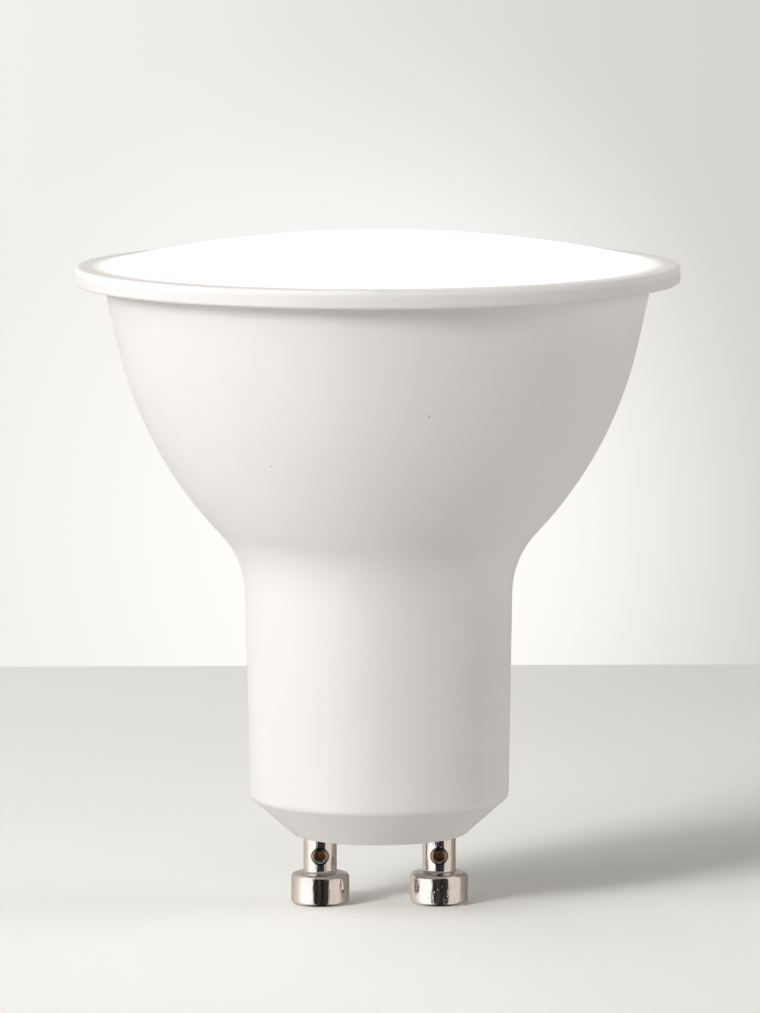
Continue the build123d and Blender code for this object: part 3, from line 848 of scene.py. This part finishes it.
@dataclass
class Driver(SubAssembly):
    """Driver board with its parts, and the supply wires from the pins."""

    winding_middle_mm: tuple[float, float, float] = (0.0, -2.2, 19.405)
    winding_half_mm: tuple[float, float, float] = (3.45, 3.9, 2.2)
    winding_power: float = 5.0
    wire_radius_mm: float = 0.14
    wire_proud_mm: float = 0.1
    turn_steps: int = 56
    wire_sides: int = 8

    def finishes(self) -> dict[str, Finish]:
        """Choose the finishes of the board, its parts and the supply wires.

        Returns:
            Finish of each node, by its name.
        """
        # Transfer-moulded epoxy is a matt black from its filler, with tinned leads at its ends.
        epoxy = TinnedEnds(
            "epoxy_transfer_moulded", "#202022", "#19191b", 0.5, grain_mm=0.08, relief_mm=0.004,
        )
        # A thick film is printed and fired under a glaze: glossy black between two tinned caps.
        resistor = TinnedEnds(
            "thick_film_on_alumina", "#1a1a1c", "#141416", 0.3, grain=Grain.FIRED, grain_mm=0.1, axis=0,
            end_mm=0.45,
        )
        # Fired ceramic is bare, brown and dull between its caps.
        bypass = TinnedEnds(
            "barium_titanate_fired", "#a98a63", "#9a7c57", 0.45, grain=Grain.FIRED, grain_mm=0.08,
            axis=0, end_mm=0.45,
        )
        # Pressed and sintered ferrite is charcoal grey, with a sandy skin.
        ferrite = Finish(
            "ferrite_pressed_sintered", "#3a3a3d", "#2c2c30", 0.55, grain=Grain.FIRED, grain_mm=0.12,
            relief_mm=0.01, cloud_mm=2.0,
        )
        # A shrunk sleeve is tight and glossy, and leaves the can's bright end bare.
        sleeve = CappedPart(
            "pvc_sleeve_shrunk", "#22262e", "#1b1f26", 0.28, grain=Grain.DRAWN, relief_mm=0.003,
            cloud_mm=4.0, cap="#c8cacc", cap_from_mm=8.0, cap_metallic=1.0,
        )
        # Extruded silicone is a soft dull white.
        supply = StrippedWire(
            "silicone_extruded_white", "#e6e4de", "#dbd8d0", 0.5, grain=Grain.DRAWN, cloud_mm=3.0,
        )
        # Screened green mask over glass cloth is glossy, and a little lighter over the copper.
        board = TrackedBoard(
            "glass_epoxy_green_mask", "#1f6b40", "#195a35", 0.3, grain_mm=0.2, relief_mm=0.035, coat=0.2,
        )
        # Dipped and baked enamel is a dull grey green, thick over the caps at both ends.
        fuse = BandedFuse(
            "enamel_fired_grey_green", "#8fa08c", "#7f917d", 0.42, grain=Grain.FIRED, grain_mm=0.15,
            axis=0, end_mm=1.05,
        )
        # Moulded phenolic is a smooth brownish black.
        bobbin = Finish("phenolic_moulded_black", "#191817", "#121110", 0.34, relief_mm=0.003)
        return {
            "driver_board": board, "supply_wire_left": supply, "supply_wire_right": supply,
            "input_capacitor": sleeve, "output_capacitor": sleeve, "fuse_resistor": fuse,
            "choke_core_lower": ferrite, "choke_core_upper": ferrite,
            "choke_bobbin": bobbin, "choke_winding": self.wire_finish(),
            "bridge_rectifier": epoxy, "driver_chip": epoxy, "flyback_diode": epoxy,
            "sense_resistor_left": resistor, "sense_resistor_right": resistor,
            "bypass_capacitor": bypass,
        }

    def wire_finish(self) -> Finish:
        """Copper wire, drawn and enamelled: a clear amber lacquer over bright metal."""
        return Finish(
            "copper_wire_enamelled", "#b4623a", "#9c4f2c", 0.26, metallic=1.0, grain_mm=0.2,
            relief_mm=0.002, cloud_mm=2.0, coat=0.6,
        )

    def add_pieces(self) -> None:
        """Wind the choke: one wire laid turn on turn round the bobbin, a little proud of the winding.

        The path goes round a superellipse, which is a rectangle with rounded corners: at each angle
        it reaches out by the sum of the cosine's and the sine's size, both raised to the winding's
        power, to the power of minus one over it. Meanwhile its height rises evenly. The wire's section
        is a circle in the plane of the path's outward direction and Z.
        """
        pitch = 2 * self.wire_radius_mm
        turns = math.floor(2 * self.winding_half_mm[2] / pitch) - 1
        travel = np.linspace(0, 2 * np.pi * turns, turns * self.turn_steps + 1)[:, None]
        ring = np.linspace(0, 2 * np.pi, self.wire_sides + 1)[None, :-1]
        cosine, sine = np.cos(travel), np.sin(travel)
        power = self.winding_power
        reach = (np.abs(cosine) ** power + np.abs(sine) ** power) ** (-1 / power)
        out_x, out_y = cosine * reach, sine * reach
        swell = self.wire_radius_mm * np.cos(ring)
        half_x, half_y = (
            half - self.wire_radius_mm + self.wire_proud_mm for half in self.winding_half_mm[:2]
        )
        x = self.winding_middle_mm[0] + out_x * (half_x + swell)
        y = self.winding_middle_mm[1] + out_y * (half_y + swell)
        rise = (travel / (2 * np.pi) - turns / 2) * pitch
        z = self.winding_middle_mm[2] + rise + self.wire_radius_mm * np.sin(ring) + 0 * x
        winding = grid_mesh("choke_wire", np.stack([x, y, z], axis=-1)[:, ::-1])
        dress(winding, self.wire_finish())
        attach(winding, "root")


@dataclass(frozen=True)
class Softbox:
    """A square studio lamp aimed at the bulb, placed by compass angle from the camera's side."""

    name: str
    azimuth_deg: float
    elevation_deg: float
    side_m: float
    power_w: float
    colour: str = "#ffffff"
    distance_m: float = 1.0

    def build(self, target: Vector) -> None:
        """Create the lamp, which glossy surfaces don't mirror.

        Args:
            target: Point that it faces, in metres.
        """
        azimuth, elevation = math.radians(self.azimuth_deg), math.radians(self.elevation_deg)
        away = Vector((
            math.sin(azimuth) * math.cos(elevation),
            -math.cos(azimuth) * math.cos(elevation),
            math.sin(elevation),
        ))
        data = bpy.data.lights.new(self.name, "AREA")
        data.size = self.side_m
        data.energy = self.power_w
        data.color = linear(self.colour)[:3]
        lamp = bpy.data.objects.new(self.name, data)
        lamp.location = target + away * self.distance_m
        lamp.rotation_euler = (-away).to_track_quat("-Z", "Y").to_euler()
        lamp.visible_glossy = False
        bpy.context.scene.collection.objects.link(lamp)


@dataclass(frozen=True)
class Studio:
    """Table, backdrop, soft lamps and camera.

    A pair of limits goes from left to right, near to far, low to high, or outside in.
    """

    table_behind_m: float = 0.149
    table_reach_m: float = 1.2
    table_deep_m: float = 0.02
    table_tone: str = "#fefdf8"
    # Painted shade: the table's far right corner is painted a little darker.
    table_shade_tone: str = "#f1f0eb"
    table_bounce_tone: str = "#f8f7f3"
    shade_x_m: tuple[float, float] = (0.005, 0.036)
    shade_y_m: tuple[float, float] = (0.0, 0.13)
    shade_near_share: float = 0.25
    focal_px: float = 7859.0
    picture_px: tuple[int, int] = (760, 1013)
    camera_at_m: tuple[float, float, float] = (0.00013, -0.6533, 0.1086)
    camera_pitch_deg: float = 6.55
    camera_roll_deg: float = -0.19
    wall_half_width: float = 0.05
    # A painted glow on the wall round the lamp:
    painted_halo_px: tuple[float, float] = (371.0, 520.0)
    painted_halo_half_px: tuple[float, float] = (311.0, 366.0)
    painted_halo_fade: tuple[float, float] = (1.48, 0.38)
    painted_halo_tone: str = "#fffefa"
    mirror_strength: float = 1.6
    mirror_foot_strength: float = 0.08
    mirror_foot_z: tuple[float, float] = (-0.95, -0.7)
    fill_tone: str = "#f4f3f0"
    fill_strength: float = 0.02
    lamps_aim_m: tuple[float, float, float] = (0.0, 0.0, 0.03)

    def direction(self, pixel: tuple[float, float]) -> tuple[float, float]:
        """Find the view's direction through a pixel of the picture, which looks nearly along +Y.

        Args:
            pixel: The pixel's column and row.

        Returns:
            X and Z of the direction.
        """
        pitch = math.radians(self.camera_pitch_deg)
        right = (pixel[0] - self.picture_px[0] / 2) / self.focal_px
        up = (self.picture_px[1] / 2 - pixel[1]) / self.focal_px
        return right, up * math.cos(pitch) - math.sin(pitch)

    def paint_table(self) -> bpy.types.Material:
        """Make matt paint: the same dull pale tone from every side, with a little painted shade far right.

        Light that bounces off the table takes the bounce tone, and the camera sees the other two.

        Returns:
            The material.
        """
        material = bpy.data.materials.new("table_painted_matt")
        material.use_nodes = True
        tree = material.node_tree
        tree.nodes.clear()
        place = add_node(tree, "TexCoord").outputs["Object"]
        parts = add_node(tree, "SeparateXYZ", {0: place})
        # Painted shade, growing towards the far right corner.
        right = add_node(tree, "MapRange", {
            "Value": parts.outputs["X"], "From Min": self.shade_x_m[0], "From Max": self.shade_x_m[1],
        })
        back = add_node(tree, "MapRange", {
            "Value": parts.outputs["Y"], "From Min": self.shade_y_m[0], "From Max": self.shade_y_m[1],
            "To Min": self.shade_near_share,
        })
        corner = add_node(tree, "Math", {
            0: right.outputs["Result"], 1: back.outputs["Result"],
        }, operation="MULTIPLY")
        seen = add_node(tree, "Mix", {
            "Factor": corner.outputs[0], "A": linear(self.table_tone), "B": linear(self.table_shade_tone),
        }, data_type="RGBA")
        colour = add_node(tree, "Mix", {
            "Factor": add_node(tree, "LightPath").outputs["Is Camera Ray"],
            "A": linear(self.table_bounce_tone), "B": seen.outputs["Result"],
        }, data_type="RGBA")
        shader = add_node(tree, "BsdfPrincipled", {
            "Base Color": colour.outputs["Result"], "Roughness": 1.0, "Specular IOR Level": 0.0,
        })
        add_node(tree, "OutputMaterial", {"Surface": shader.outputs["BSDF"]})
        return material

    def table(self) -> None:
        """Set up the table top, its far edge as far behind the lamp as in the photograph."""
        side, deep = self.table_reach_m, self.table_deep_m
        corners = [
            (x, y, z) for z in (-deep, 0.0) for y in (-side, self.table_behind_m) for x in (-side, side)
        ]
        faces = [(0, 2, 3, 1), (4, 5, 7, 6), (0, 1, 5, 4), (2, 6, 7, 3), (0, 4, 6, 2), (1, 3, 7, 5)]
        mesh = bpy.data.meshes.new("table_top")
        mesh.from_pydata(corners, [], faces)
        mesh.materials.append(self.paint_table())
        table = bpy.data.objects.new("table_top", mesh)
        bpy.context.scene.collection.objects.link(table)
        table.visible_glossy = False

    def wall(self, tree: Tree, toward: Socket) -> Socket:
        """Tone the wall by direction: painted shade darker from left to right, with a painted glow round
        the lamp.

        The glow is a smooth step over the distance from its middle, measured in shares of its half
        width and half height.

        Args:
            tree: The world's node tree.
            toward: Direction from the camera.

        Returns:
            The wall's colour.
        """
        across = add_node(tree, "MapRange", {
            "Value": add_node(tree, "SeparateXYZ", {0: toward}).outputs["X"],
            "From Min": -self.wall_half_width, "From Max": self.wall_half_width,
        })
        # Painted shade: the wall darkens from left to right.
        wall = add_node(tree, "ValToRGB", {"Fac": across.outputs["Result"]}, {
            0.03: "#f1f0eb", 0.27: "#eeede8", 0.5: "#e3e2dd", 0.73: "#dbdad5", 0.97: "#d6d5d0",
        })
        # Painted glow round the lamp.
        middle_x, middle_z = self.direction(self.painted_halo_px)
        half_x, half_z = (half / self.focal_px for half in self.painted_halo_half_px)
        offset = add_node(tree, "Mapping", {
            "Vector": toward, "Scale": (1 / half_x, 0.0, 1 / half_z),
            "Location": (-middle_x / half_x, 0.0, -middle_z / half_z),
        })
        away = add_node(tree, "VectorMath", {0: offset.outputs[0]}, operation="LENGTH")
        glow = add_node(tree, "MapRange", {
            "Value": away.outputs["Value"],
            "From Min": self.painted_halo_fade[0], "From Max": self.painted_halo_fade[1],
        }, interpolation_type="SMOOTHSTEP")
        seen = add_node(tree, "Mix", {
            "Factor": glow.outputs["Result"], "A": wall.outputs["Color"], "B": linear(self.painted_halo_tone),
        }, data_type="RGBA")
        return seen.outputs["Result"]

    def mirrored(self, tree: Tree, toward: Socket) -> Node:
        """Tone the studio that bright metal shows, by compass angle from the camera's side.

        Round the camera lies a dark gap with two thin gleams in it, on its left a bright panel, on its
        right a duller one, and behind the lamp the dim back of the room. The studio goes dark straight
        below, where a foot's edge would mirror its own shadow.

        Args:
            tree: The world's node tree.
            toward: Direction from the metal.

        Returns:
            The background that a glossy ray meets.
        """
        parts = add_node(tree, "SeparateXYZ", {0: toward})
        front = add_node(tree, "Math", {0: parts.outputs["Y"], 1: -1.0}, operation="MULTIPLY")
        angle = add_node(tree, "Math", {
            0: parts.outputs["X"], 1: front.outputs[0],
        }, operation="ARCTAN2")
        compass = add_node(tree, "MapRange", {
            "Value": angle.outputs[0], "From Min": -math.pi, "From Max": math.pi,
        })
        panel, side, back, corner = "#ffffff", "#cdc6bf", "#948f89", "#6f6a65"
        dusk, dark, gleam = "#413e3d", "#141314", "#484748"
        tones = {
            -180: back, -106: side, -76: panel, -34: panel, -25: dusk, -12: dark, -5: gleam, -3: dark,
            1: gleam, 4: dark, 34: dusk, 39: side, 88: side, 97: back, 148: corner, 180: back,
        }
        studio = add_node(tree, "ValToRGB", {"Fac": compass.outputs["Result"]}, {
            (degrees + 180) / 360: tone for degrees, tone in tones.items()
        })
        strength = add_node(tree, "MapRange", {
            "Value": parts.outputs["Z"],
            "From Min": self.mirror_foot_z[0], "From Max": self.mirror_foot_z[1],
            "To Min": self.mirror_foot_strength, "To Max": self.mirror_strength,
        })
        return add_node(tree, "Background", {
            "Color": studio.outputs["Color"], "Strength": strength.outputs["Result"],
        })

    def world(self) -> None:
        """Show the wall to the camera and through glass, and the studio to glossy rays.

        Other rays meet a faint even fill, since the lamps do the lighting.
        """
        world = bpy.data.worlds.new("studio")
        bpy.context.scene.world = world
        world.use_nodes = True
        tree = world.node_tree
        tree.nodes.clear()
        toward = add_node(tree, "TexCoord").outputs["Generated"]
        wall = add_node(tree, "Background", {"Color": self.wall(tree, toward)})
        fill = add_node(tree, "Background", {
            "Color": linear(self.fill_tone), "Strength": self.fill_strength,
        })
        path = add_node(tree, "LightPath")
        unseen = add_node(tree, "MixShader", {
            "Fac": path.outputs["Is Glossy Ray"], 1: fill.outputs[0],
            2: self.mirrored(tree, toward).outputs[0],
        })
        direct = add_node(tree, "Math", {
            0: path.outputs["Is Camera Ray"], 1: path.outputs["Is Transmission Ray"],
        }, operation="MAXIMUM")
        surface = add_node(tree, "MixShader", {
            "Fac": direct.outputs[0], 1: unseen.outputs[0], 2: wall.outputs[0],
        })
        add_node(tree, "OutputWorld", {"Surface": surface.outputs[0]})

    def lamps(self) -> None:
        """Set a key at the front left, whose shadow falls back to the right, and large weak fills."""
        target = Vector(self.lamps_aim_m)
        for softbox in (
            Softbox("key", -44, 21, 0.25, 6.2),
            Softbox("key_spill", -52, 28, 0.62, 2.6),
            Softbox("high_left", -52, 52, 0.62, 1.95),
            Softbox("low_left", -120, 6, 0.62, 1.5),
            Softbox("back_left", -145, 24, 0.75, 1.9),
            Softbox("low_right", 90, 7, 0.62, 5.3, "#fffcf8"),
            Softbox("back_right", 120, 6, 0.62, 1.2),
            Softbox("top", 0, 89, 0.75, 1.5),
        ):
            softbox.build(target)

    def camera(self) -> None:
        """Set up the camera as fitted to the photograph: place, pitch, roll and focal length."""
        data = bpy.data.cameras.new("camera")
        data.lens = self.focal_px * data.sensor_width / self.picture_px[1]
        data.clip_start = 0.01
        camera = bpy.data.objects.new("camera", data)
        pitch = Matrix.Rotation(math.radians(90 - self.camera_pitch_deg), 4, "X")
        roll = Matrix.Rotation(math.radians(self.camera_roll_deg), 4, "Z")
        camera.matrix_world = Matrix.Translation(self.camera_at_m) @ pitch @ roll
        bpy.context.scene.collection.objects.link(camera)
        bpy.context.scene.camera = camera

    def build(self) -> None:
        """Set the stage and the view."""
        self.table()
        self.world()
        self.lamps()
        self.camera()
        bpy.context.scene.view_settings.view_transform = "Standard"


def main() -> None:
    """Build the bulb's looks and the studio round it."""
    logging.basicConfig(level=logging.INFO, format="%(message)s")
    for part in (Shell(), ContactPins(), LightEngine(), Driver(), Studio()):
        part.build()


if __name__ == "__main__":
    main()
